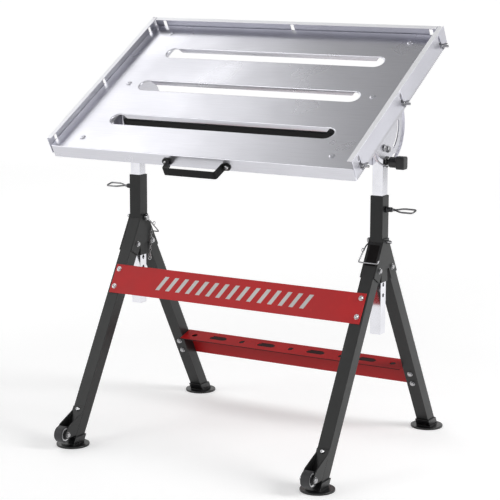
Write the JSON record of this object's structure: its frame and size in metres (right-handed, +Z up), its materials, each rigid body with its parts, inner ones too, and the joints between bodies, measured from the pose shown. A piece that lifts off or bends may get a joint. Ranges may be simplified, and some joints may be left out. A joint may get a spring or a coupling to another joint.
{
  "type": "welding table",
  "caption": "Folding steel welding table: a slotted top that tilts and slides up on two posts, with raised stop rails, folding legs, a tool tray and transport wheels.",
  "frame": {"origin": "on the floor, at the middle of the whole object's length and width", "axes": "+X to the right along the top's long side, +Y towards the back, +Z up; the front with the handle and wheels faces -Y"},
  "size_m": [0.805, 0.6486, 0.9532],
  "materials": {
    "top_steel": "satin",
    "rail_steel": "satin",
    "bracket_steel": "satin",
    "chrome": "polished",
    "zinc": "bright",
    "black_paint": "satin powder coat",
    "red_paint": "satin powder coat",
    "black_plastic": "moulded",
    "wheel_plastic": "moulded"
  },
  "bodies": {
    "frame": {"sleeve_right": "black_paint", "gusset_outer_right": "black_paint", "gusset_inner_right": "black_paint", "pull_pin_housing_right": "zinc", "leg_pivot_bolt_front_right": "zinc", "leg_pivot_bolt_rear_right": "zinc", "lanyard_chain_right": "zinc", "sleeve_left": "black_paint", "gusset_outer_left": "black_paint", "gusset_inner_left": "black_paint", "pull_pin_housing_left": "zinc", "leg_pivot_bolt_front_left": "zinc", "leg_pivot_bolt_rear_left": "zinc", "lanyard_chain_left": "zinc"},
    "posts": {"post_right": "chrome", "tilt_pivot_bolt_right": "zinc", "post_left": "chrome", "tilt_pivot_bolt_left": "zinc"},
    "table": {"tabletop": "top_steel", "side_bracket_right": "bracket_steel", "side_bracket_left": "bracket_steel", "tie_bar": "black_paint", "handle": "black_paint"},
    "front_legs": {"front_leg_right": "black_paint", "front_leg_left": "black_paint", "front_panel": "red_paint", "wheel_bracket_right": "black_paint", "wheel_bracket_left": "black_paint", "wheel_axle_right": "zinc", "wheel_axle_left": "zinc", "foot_front_right": "black_plastic", "foot_front_left": "black_plastic"},
    "rear_legs": {"rear_leg_right": "black_paint", "rear_leg_left": "black_paint", "tool_tray": "red_paint", "foot_rear_right": "black_plastic", "foot_rear_left": "black_plastic"},
    "rail_right": {"rail_right": "rail_steel"},
    "rail_left": {"rail_left": "rail_steel"},
    "rail_back": {"rail_back": "rail_steel"},
    "wing_nut_right_front": {"wing_nut_right_front": "zinc"},
    "wing_nut_right_middle": {"wing_nut_right_middle": "zinc"},
    "wing_nut_right_rear": {"wing_nut_right_rear": "zinc"},
    "wing_nut_left_front": {"wing_nut_left_front": "zinc"},
    "wing_nut_left_middle": {"wing_nut_left_middle": "zinc"},
    "wing_nut_left_rear": {"wing_nut_left_rear": "zinc"},
    "wing_nut_back_left": {"wing_nut_back_left": "zinc"},
    "wing_nut_back_middle": {"wing_nut_back_middle": "zinc"},
    "wing_nut_back_right": {"wing_nut_back_right": "zinc"},
    "tilt_knob_right": {"tilt_knob_right": "black_plastic"},
    "pull_pin_right": {"pull_pin_right": "zinc"},
    "lock_pin_right": {"lock_pin_right": "zinc"},
    "bail_right": {"lock_pin_bail_right": "zinc"},
    "wheel_right": {"wheel_right": "wheel_plastic"},
    "tilt_knob_left": {"tilt_knob_left": "black_plastic"},
    "pull_pin_left": {"pull_pin_left": "zinc"},
    "lock_pin_left": {"lock_pin_left": "zinc"},
    "bail_left": {"lock_pin_bail_left": "zinc"},
    "wheel_left": {"wheel_left": "wheel_plastic"}
  },
  "joints": [
    {"name": "height_slide", "type": "slide", "parent": "frame", "child": "posts", "axis": [0, 0, 1], "range_m": [-0.024, 0.12]},
    {"name": "table_tilt", "type": "hinge", "parent": "posts", "child": "table", "pos_m": [0, 0.01025, 0.74], "axis": [1, 0, 0], "range_deg": [-30, 60]},
    {"name": "front_leg_fold", "type": "hinge", "parent": "frame", "child": "front_legs", "pos_m": [0, -0.02075, 0.43], "axis": [1, 0, 0], "range_deg": [0, 28]},
    {"name": "rear_leg_fold", "type": "hinge", "parent": "frame", "child": "rear_legs", "pos_m": [0, 0.04125, 0.43], "axis": [-1, 0, 0], "range_deg": [0, 28]},
    {"name": "rail_right_slide", "type": "slide", "parent": "table", "child": "rail_right", "axis": [0, -0.5, 0.866], "range_m": [-0.019, 0]},
    {"name": "rail_left_slide", "type": "slide", "parent": "table", "child": "rail_left", "axis": [0, -0.5, 0.866], "range_m": [-0.019, 0]},
    {"name": "rail_back_slide", "type": "slide", "parent": "table", "child": "rail_back", "axis": [0, -0.5, 0.866], "range_m": [-0.019, 0]},
    {"name": "wing_nut_right_front_turn", "type": "hinge", "parent": "table", "child": "wing_nut_right_front", "pos_m": [0.388, -0.21551, 0.68702], "axis": [1, 0, 0], "continuous": true},
    {"name": "wing_nut_right_middle_turn", "type": "hinge", "parent": "table", "child": "wing_nut_right_middle", "pos_m": [0.388, -0.02325, 0.79802], "axis": [1, 0, 0], "continuous": true},
    {"name": "wing_nut_right_rear_turn", "type": "hinge", "parent": "table", "child": "wing_nut_right_rear", "pos_m": [0.388, 0.16901, 0.90902], "axis": [1, 0, 0], "continuous": true},
    {"name": "wing_nut_left_front_turn", "type": "hinge", "parent": "table", "child": "wing_nut_left_front", "pos_m": [-0.388, -0.21551, 0.68702], "axis": [-1, 0, 0], "continuous": true},
    {"name": "wing_nut_left_middle_turn", "type": "hinge", "parent": "table", "child": "wing_nut_left_middle", "pos_m": [-0.388, -0.02325, 0.79802], "axis": [-1, 0, 0], "continuous": true},
    {"name": "wing_nut_left_rear_turn", "type": "hinge", "parent": "table", "child": "wing_nut_left_rear", "pos_m": [-0.388, 0.16901, 0.90902], "axis": [-1, 0, 0], "continuous": true},
    {"name": "wing_nut_back_left_turn", "type": "hinge", "parent": "table", "child": "wing_nut_back_left", "pos_m": [-0.352, 0.19845, 0.92602], "axis": [0, 0.866, 0.5], "continuous": true},
    {"name": "wing_nut_back_middle_turn", "type": "hinge", "parent": "table", "child": "wing_nut_back_middle", "pos_m": [0, 0.19845, 0.92602], "axis": [0, 0.866, 0.5], "continuous": true},
    {"name": "wing_nut_back_right_turn", "type": "hinge", "parent": "table", "child": "wing_nut_back_right", "pos_m": [0.352, 0.19845, 0.92602], "axis": [0, 0.866, 0.5], "continuous": true},
    {"name": "tilt_knob_right_turn", "type": "hinge", "parent": "posts", "child": "tilt_knob_right", "pos_m": [0.36, 0.01025, 0.666], "axis": [1, 0, 0], "continuous": true},
    {"name": "pull_pin_right_pull", "type": "slide", "parent": "frame", "child": "pull_pin_right", "axis": [1, 0, 0], "range_m": [0, 0.009], "stiffness_N_per_m": 600, "springref_m": -0.006},
    {"name": "lock_pin_right_draw", "type": "slide", "parent": "frame", "child": "lock_pin_right", "axis": [-1, 0, 0], "range_m": [0, 0.06]},
    {"name": "bail_right_swing", "type": "hinge", "parent": "lock_pin_right", "child": "bail_right", "pos_m": [0.298, 0.01025, 0.49], "axis": [-1, 0, 0], "range_deg": [0, 110]},
    {"name": "wheel_right_spin", "type": "hinge", "parent": "front_legs", "child": "wheel_right", "pos_m": [0.317, -0.30575, 0.035], "axis": [1, 0, 0], "continuous": true},
    {"name": "tilt_knob_left_turn", "type": "hinge", "parent": "posts", "child": "tilt_knob_left", "pos_m": [-0.36, 0.01025, 0.666], "axis": [-1, 0, 0], "continuous": true},
    {"name": "pull_pin_left_pull", "type": "slide", "parent": "frame", "child": "pull_pin_left", "axis": [-1, 0, 0], "range_m": [0, 0.009], "stiffness_N_per_m": 600, "springref_m": -0.006},
    {"name": "lock_pin_left_draw", "type": "slide", "parent": "frame", "child": "lock_pin_left", "axis": [1, 0, 0], "range_m": [0, 0.06]},
    {"name": "bail_left_swing", "type": "hinge", "parent": "lock_pin_left", "child": "bail_left", "pos_m": [-0.298, 0.01025, 0.49], "axis": [1, 0, 0], "range_deg": [0, 110]},
    {"name": "wheel_left_spin", "type": "hinge", "parent": "front_legs", "child": "wheel_left", "pos_m": [-0.317, -0.30575, 0.035], "axis": [1, 0, 0], "continuous": true}
  ]
}
